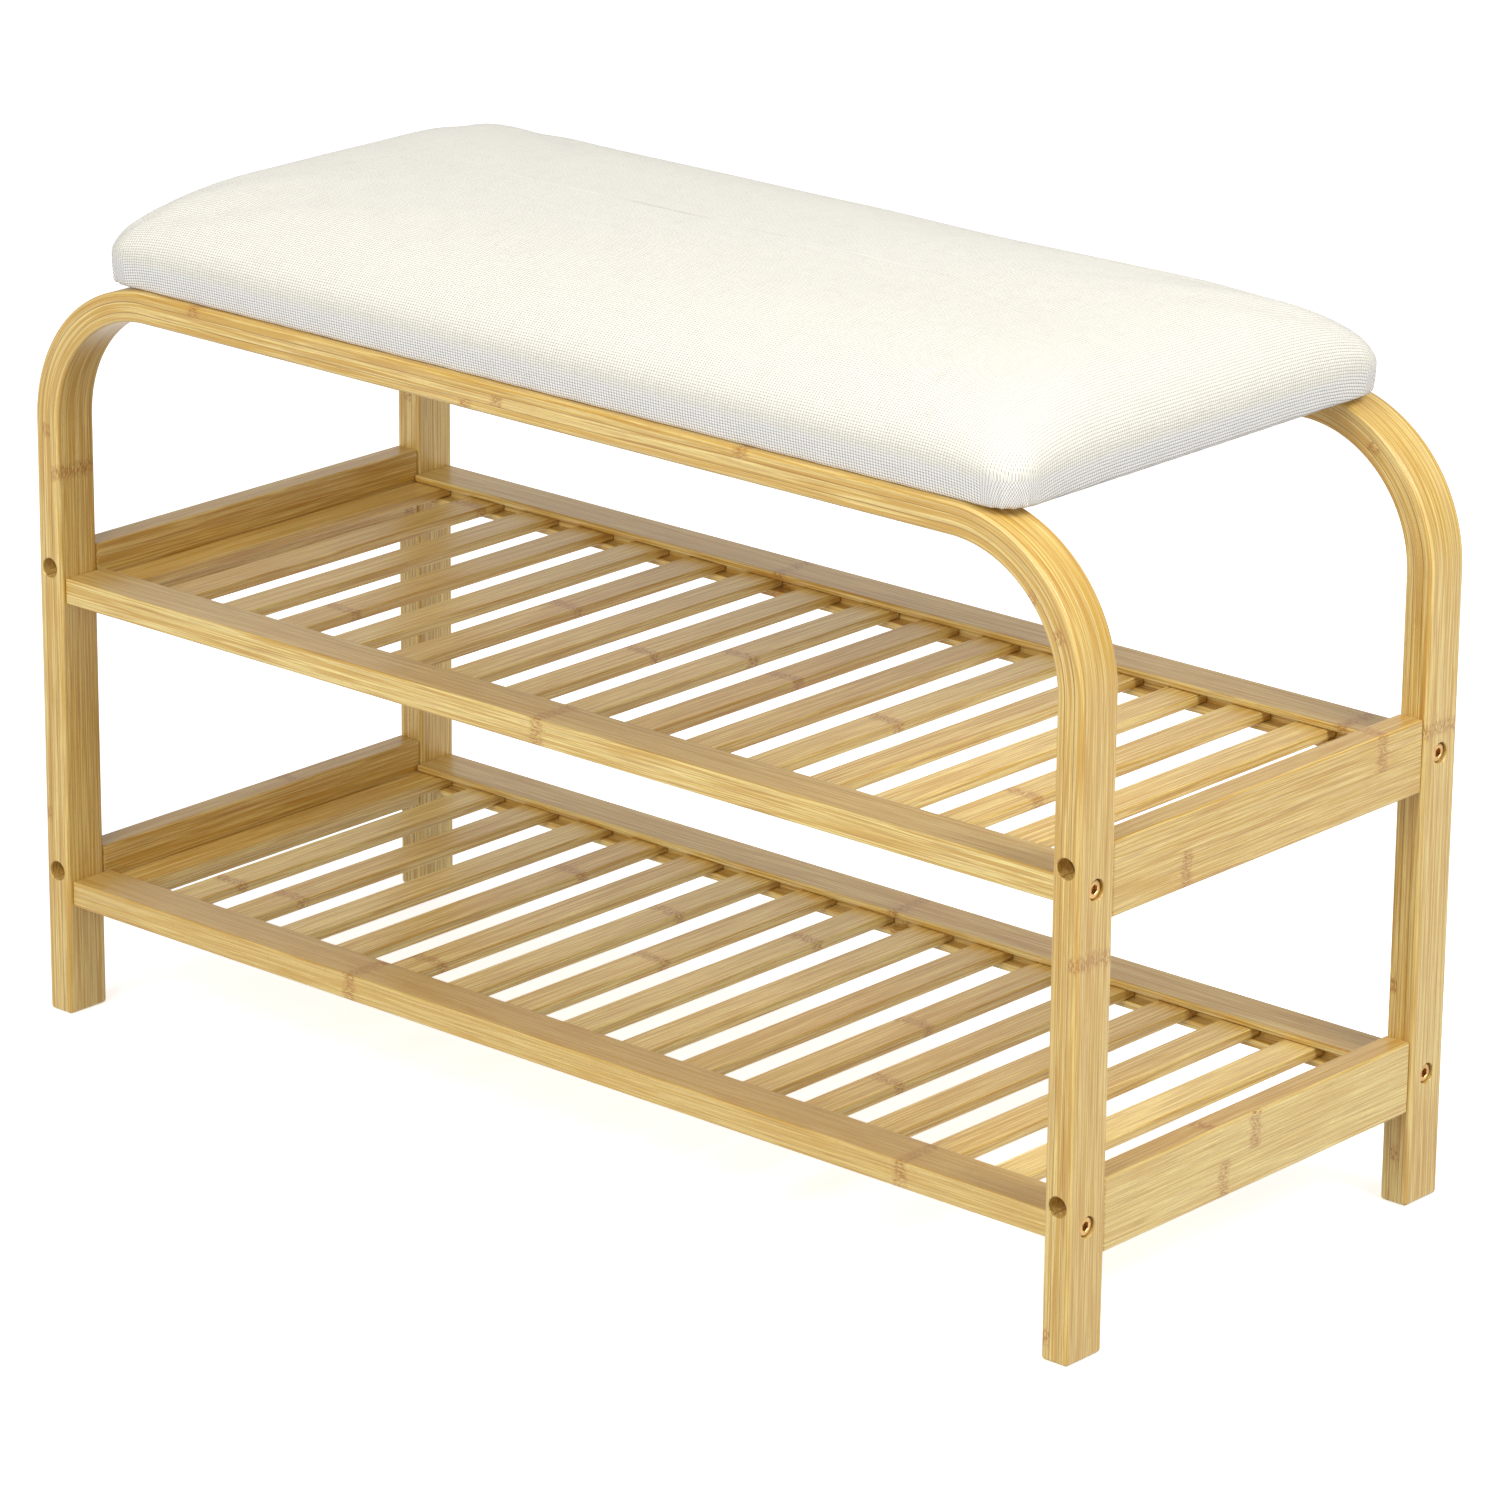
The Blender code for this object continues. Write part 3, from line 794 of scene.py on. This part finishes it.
def crownRings(outline, high, bandTop, rise):
    rings = []
    for inset in cushion["crownInsets"]:
        ring = drawnIn(outline, high, inset, 0.0)
        rings.append([Vector((p.x, p.y, bandTop + rise * crown(p.x, p.y, high))) for p in ring])
    return rings


def blownUp(low, high, bandTop, rise):
    # the plain pad is remeshed, blown up gently with its lower band held, and its travel scaled to the cap
    outline = seatOutline(high.x, high.y, cushion["corner"])
    rings = [drawnIn(outline, high, 0.0, low.z), drawnIn(outline, high, 0.0, bandTop)]
    form = loft("padForm", rings + crownRings(outline, high, bandTop, rise))
    pad = form.copy()
    pad.data = form.data.copy()
    scene.collection.objects.link(pad)
    step = pad.modifiers.new("remesh", "REMESH")
    step.mode = "VOXEL"
    step.voxel_size = cushion["voxel"]
    wrap = pad.modifiers.new("onForm", "SHRINKWRAP")
    wrap.target = form
    applyModifiers(pad)
    before = [v.co.copy() for v in pad.data.vertices]
    held = pad.vertex_groups.new(name="held")
    for i, co in enumerate(before):
        held.add([i], 1.0 if co.z < bandTop + 0.004 else 0.0, "REPLACE")
    cloth = pad.modifiers.new("swell", "CLOTH")
    cloth.settings.quality = 4
    cloth.settings.mass = 0.3
    cloth.settings.tension_stiffness = 12
    cloth.settings.compression_stiffness = 12
    cloth.settings.bending_stiffness = 1.2
    cloth.settings.use_pressure = True
    cloth.settings.uniform_pressure_force = cushion["pressure"]
    cloth.settings.vertex_group_mass = "held"
    cloth.settings.effector_weights.gravity = 0.0
    cloth.collision_settings.use_collision = False
    cloth.point_cache.frame_start = 1
    cloth.point_cache.frame_end = 20
    for number in range(1, 21):
        scene.frame_set(number)
    applyModifiers(pad)
    scene.frame_set(1)
    furthest = max((vertex.co - start).length for vertex, start in zip(pad.data.vertices, before))
    kept = min(1.0, cushion["cap"] / furthest)
    for vertex, start in zip(pad.data.vertices, before):
        vertex.co = start.lerp(vertex.co, kept)
    smooth = pad.modifiers.new("smooth", "SUBSURF")
    smooth.levels = smooth.render_levels = 1
    applyModifiers(pad)
    print("pad blown up, furthest point moved", round(furthest * 1000, 1), "mm")
    heights = []
    for obj in (form, pad):
        heights.append(BVHTree.FromObject(obj, bpy.context.evaluated_depsgraph_get()))
        bpy.data.objects.remove(obj, do_unlink=True)
    return heights


def liftAt(heights, x, y):
    hits = [tree.ray_cast(Vector((x, y, 1.0)), Vector((0, 0, -1)))[0] for tree in heights]
    return hits[1].z - hits[0].z if all(hits) else 0.0


def sideMove(co, inside, outX, outY, up):
    # how far the cloth stands out from the plain outline: bulge, tuck at the hem, corner pleats and pulls
    move = 0.0
    bulgeHigh, bulgeIn = cushion["bulgeReach"]
    if up < bulgeHigh:
        edgeShare = max(0.0, 1 - max(0.0, inside) / bulgeIn)
        move = cushion["bulge"] * math.sin(math.pi * up / bulgeHigh) * edgeShare
    if up < cushion["tuckHigh"]:
        move -= cushion["tuck"] * (1 - up / cushion["tuckHigh"]) ** 2
    turn = math.atan2(abs(outY), abs(outX))
    gather = math.sin(2 * turn)
    folds = max(0.0, math.sin(turn * 4 * cushion["pleats"] + 0.6)) ** 1.5
    move += folds * cushion["pleat"] * max(0.0, 1 - up / cushion["pleatHigh"]) * gather
    wave = math.sin((co.x + co.y) * 2 * math.pi / cushion["pullPitch"] + math.sin(co.x * 31))
    return move + cushion["pull"] * wave * max(0.0, 1 - up / cushion["pullHigh"]) * (1 - gather)


def shapeCushion(low, high, bandTop):
    # one closed skin: board slot, hem, side and crown, lofted from the slot's ceiling round to the top
    boardLow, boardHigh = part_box("seat_board")
    outline = seatOutline(high.x, high.y, cushion["corner"])
    gap = cushion["gap"]
    wall = high.x - boardHigh.x - gap
    ceiling, mouth = boardHigh.z + gap, boardLow.z - gap
    rings = [drawnIn(outline, high, inset, ceiling) for inset in (*cushion["slotInsets"], wall)]
    rings += [drawnIn(outline, high, inset, mouth) for inset in (wall, cushion["hemWide"])]
    rings += [drawnIn(outline, high, inset, low.z) for inset in (cushion["hemWide"], *cushion["hemInsets"])]
    sideStart = len(rings)
    rings += [drawnIn(outline, high, 0.0, low.z + up) for up in cushion["sideHeights"]]
    rings.append(drawnIn(outline, high, 0.0, bandTop))
    crownStart = len(rings)
    full = cushion["topHigh"] - bandTop
    rise = full - cushion["swellRoom"]
    trees = blownUp(low, high, bandTop, rise)
    rings += crownRings(outline, high, bandTop, rise)
    halfX = clothLength(high.x, *cushion["slopeX"])
    halfY = clothLength(high.y, *cushion["slopeY"])
    over, fade = cushion["bandFade"]
    swellFrom, swellWide = cushion["swellEdge"]
    places = []
    for number, ring in enumerate(rings):
        for i, co in enumerate(ring):
            inside, outX, outY = insideBy(co.x, co.y, high)
            up = co.z - low.z
            inBand = min(1.0, max(0.0, (bandTop + over - co.z) / fade))
            drop = 0.0
            if number < crownStart:
                drop = bandTop - low.z - up + (inside if number < sideStart else 0.0)
            places += clothPlace(co, high, halfX, halfY, drop, inBand)
            if number < sideStart:
                continue
            move = sideMove(co, inside, outX, outY, up)
            place = Vector((co.x + outX * move, co.y + outY * move, co.z))
            if trees and inside > swellFrom:
                place.z += liftAt(trees, co.x, co.y) * min(1.0, (inside - swellFrom) / swellWide)
            if inside > 0.012:
                waves = noise.noise(Vector((co.x * 11, co.y * 15, 2.0)))
                place.z += waves * cushion["uneven"] * min(1.0, (inside - 0.012) / 0.02)
            ring[i] = place
    obj = loft("seatCushion", rings)
    obj.data.attributes.new("weave", "FLOAT_VECTOR", "POINT")
    obj.data.attributes["weave"].data.foreach_set("vector", places)
    return obj


def fabric(name, pitch):
    made, tree, shader = newMaterial(name)
    u, v, sideBand = parted(tree, carried(tree, "weave").outputs["Vector"])
    stray = cloudy(tree, stretched(tree, (u, v), (120.0, 120.0)), 1.0, 2.0)
    lean = times(tree, minus(tree, stray, 0.5), 0.3)
    yarnU = plus(tree, calc(tree, "DIVIDE", u, pitch), lean)
    yarnV = plus(tree, calc(tree, "DIVIDE", v, pitch * 0.86), lean)

    def roundOf(yarn):
        return calc(tree, "SINE", times(tree, calc(tree, "FRACT", yarn), math.pi))

    def overThe(across, along):
        # height of a yarn that dips towards the ends of its float
        return times(tree, calc(tree, "POWER", across, 0.6), plus(tree, times(tree, along, 0.5), 0.5))

    def woven(warp, weft):
        return plus(tree, times(tree, warp, minus(tree, 1.0, over)), times(tree, weft, over))
    roundU, roundV = roundOf(yarnU), roundOf(yarnV)
    idU, idV = calc(tree, "FLOOR", yarnU), calc(tree, "FLOOR", yarnV)
    over = calc(tree, "ABSOLUTE", calc(tree, "MODULO", plus(tree, idU, idV), 2.0))
    height = woven(overThe(roundU, roundV), overThe(roundV, roundU))
    thickU = cloudy(tree, joined(tree, idU, times(tree, v, 40.0)), 1.0, 1.0)
    thickV = cloudy(tree, joined(tree, times(tree, u, 40.0), idV, 5.0), 1.0, 1.0)
    slub = woven(thickU, thickV)
    # painted shade: the low places between the yarns are darkened towards the dark linen colour, standing
    # in for the shade in the gaps of the weave; the slub step after it uses the same colour for the yarns'
    # own uneven tone
    colour = blendColour(tree, band(tree, height, 0.05, 0.60), cushion["linenGapShadeAndSlub"], cushion["linen"])
    colour = blendColour(tree, band(tree, slub, 0.35, 0.75, 0.0, 0.12), colour, cushion["linenGapShadeAndSlub"])
    # painted light: the side band's base is mixed towards a whiter linen to make up for the dimmer light
    # that falls on the sides
    colour = blendColour(tree, times(tree, sideBand, 0.8), colour, cushion["bandPaintedLight"])
    # painted shade: on the side band the low places between the yarns are darkened further towards a bluish
    # grey, standing in for the band lying in shade under the bulging crown
    holes = times(tree, sideBand, band(tree, height, 0.20, 0.66, 0.90, 0.0))
    colour = blendColour(tree, holes, colour, cushion["bandPaintedShade"])
    feed(tree, shader.inputs["Base Color"], colour)
    shader.inputs["Roughness"].default_value = 0.9
    shader.inputs["Sheen Weight"].default_value = 0.25
    shader.inputs["Sheen Roughness"].default_value = 0.5
    fuzz = cloudy(tree, stretched(tree, (u, v), (4000.0, 4000.0)), 1.0, 2.0)
    bumps(tree, shader, plus(tree, height, times(tree, fuzz, 0.25)), 0.7, 0.00035)
    return made


def makeCushion():
    low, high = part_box("seat_cover")
    obj = shapeCushion(low, high, cushion["bandTop"])
    for polygon in obj.data.polygons:
        polygon.use_smooth = True
    obj.data.set_sharp_from_angle(angle=math.radians(50))
    obj.data.materials.append(fabric("offWhiteLinen", cushion["weave"]))
    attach(obj, "root")
    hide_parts("seat_cover", "seat_foam")


plywood = {
    "dull": linear(196, 162, 118),
    "light": linear(222, 194, 152),
    "pore": linear(150, 112, 72),
}


def plywoodMaterial(name):
    made, tree, shader = newMaterial(name)
    axes = parted(tree, tree.nodes.new("ShaderNodeTexCoord").outputs["Object"])[:3]
    swirl = cloudy(tree, stretched(tree, axes, (3.0, 26.0, 90.0)), 1.0, 4.0)
    pores = cloudy(tree, stretched(tree, axes, (60.0, 900.0, 900.0)), 1.0, 2.0)
    colour = blendColour(tree, band(tree, swirl, 0.35, 0.68), plywood["dull"], plywood["light"])
    colour = blendColour(tree, band(tree, pores, 0.55, 0.75, 0.0, 0.4), colour, plywood["pore"])
    feed(tree, shader.inputs["Base Color"], colour)
    shader.inputs["Roughness"].default_value = 0.7
    bumps(tree, shader, pores, 0.15, 0.0002)
    return made


staple = {
    "long": 0.010,
    "wire": 0.0007,
    "edge": 0.0002,
    "pitch": 0.034,
    "inset": 0.0255,
    "askew": 0.25,
}


def stapleShape():
    work = bmesh.new()
    bmesh.ops.create_cube(work, size=1.0)
    bmesh.ops.scale(work, vec=(staple["long"], staple["wire"] * 1.3, staple["wire"]), verts=work.verts[:])
    bmesh.ops.bevel(work, geom=work.edges[:], offset=staple["edge"], segments=2, affect="EDGES")
    work.verts.index_update()
    corners = [v.co.copy() for v in work.verts]
    sides = [[v.index for v in face.verts] for face in work.faces]
    work.free()
    return corners, sides


def stapleRow(reach, place, turn):
    # evenly spaced along one edge of the hem
    count = int(2 * reach / staple["pitch"])
    step = 2 * reach / count
    return [(place((i + 0.5) * step - reach), turn) for i in range(count)]


def makeStaples():
    luck = random.Random(5)
    low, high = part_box("seat_cover")
    corners, sides = stapleShape()
    reachX, reachY = high.x - staple["inset"], high.y - staple["inset"]
    spots = []
    for sign in (-1, 1):
        spots += stapleRow(reachX, lambda x: Vector((x, sign * reachY, low.z)), 0.0)
        spots += stapleRow(reachY, lambda y: Vector((sign * reachX, y, low.z)), math.pi / 2)
    verts, polygons = [], []
    for spot, turn in spots:
        turn += luck.uniform(-staple["askew"], staple["askew"])
        there = Matrix.Translation(spot) @ Matrix.Rotation(turn, 4, "Z")
        polygons += [[len(verts) + k for k in side] for side in sides]
        verts += [there @ corner for corner in corners]
    mesh = bpy.data.meshes.new("hemStaples")
    mesh.from_pydata(verts, [], polygons)
    mesh.materials.append(steel("stapleWire", linear(200, 200, 205), 0.3))
    obj = bpy.data.objects.new("hemStaples", mesh)
    scene.collection.objects.link(obj)
    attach(obj, "root")


makeCushion()
makeStaples()
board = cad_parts["seat_board"]
boardLook = plywoodMaterial("seatPlywood")
for place in board.material_slots:
    place.material = boardLook
print("seat upholstered")


studio = {
    "floor": linear(246, 246, 246),
    "glow": 0.62,
    "world": 0.40,
    # lamps: where each stands (x, y, z), its width and its power
    "key": (1.9, 0.0, 2.0, 1.2, 40.0),
    "fill": (0.2, -2.4, 1.7, 2.0, 49.0),
    "top": (0.0, 0.3, 2.6, 2.4, 4.0),
    "rim": (-1.75, 2.0, 1.25, 1.8, 4.0),
    "lens": 164.617,
    "aim": (0.01784, -0.00028, 0.19465),
    "distance": 3.4857,
    "azimuth": 41.366,
    "elevation": 18.803,
    "roll": 0.5236,
}


def makeStudio():
    floorMesh = bpy.data.meshes.new("floor")
    work = bmesh.new()
    bmesh.ops.create_grid(work, x_segments=2, y_segments=2, size=15.0)
    work.to_mesh(floorMesh)
    work.free()
    floor = bpy.data.objects.new("floor", floorMesh)
    floor.location.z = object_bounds()[0].z - 0.0003
    scene.collection.objects.link(floor)
    made, shader = newMaterial("paleFloor")[::2]
    shader.inputs["Base Color"].default_value = studio["floor"]
    shader.inputs["Roughness"].default_value = 0.8
    shader.inputs["Emission Color"].default_value = (1, 1, 1, 1)
    shader.inputs["Emission Strength"].default_value = studio["glow"]
    floorMesh.materials.append(made)
    floor.visible_diffuse = False
    world = bpy.data.worlds.new("studio")
    world.use_nodes = True
    world.node_tree.nodes["Background"].inputs["Color"].default_value = (1, 1, 1, 1)
    world.node_tree.nodes["Background"].inputs["Strength"].default_value = studio["world"]
    scene.world = world
    for name in ("key", "fill", "top", "rim"):
        x, y, z, size, power = studio[name]
        lamp = bpy.data.lights.new(name, "AREA")
        lamp.shape = "DISK"
        lamp.size = size
        lamp.energy = power
        obj = bpy.data.objects.new(name, lamp)
        obj.location = (x, y, z)
        obj.rotation_euler = (Vector((0, 0, 0.25)) - Vector((x, y, z))).to_track_quat("-Z", "Y").to_euler()
        scene.collection.objects.link(obj)


def makeCamera():
    turn, lift = math.radians(studio["azimuth"]), math.radians(studio["elevation"])
    back = Vector((math.sin(turn) * math.cos(lift), -math.cos(turn) * math.cos(lift), math.sin(lift)))
    data = bpy.data.cameras.new("camera")
    data.sensor_width = 36.0
    data.lens = studio["lens"]
    data.clip_end = 100.0
    camera = bpy.data.objects.new("camera", data)
    camera.location = Vector(studio["aim"]) + back * studio["distance"]
    look = (-back).to_track_quat("-Z", "Y").to_matrix().to_4x4()
    roll = Matrix.Rotation(math.radians(studio["roll"]), 4, "Z")
    camera.rotation_euler = (look @ roll).to_euler()
    scene.collection.objects.link(camera)
    scene.camera = camera


makeStudio()
makeCamera()
scene.view_settings.view_transform = "Standard"
print("studio set")
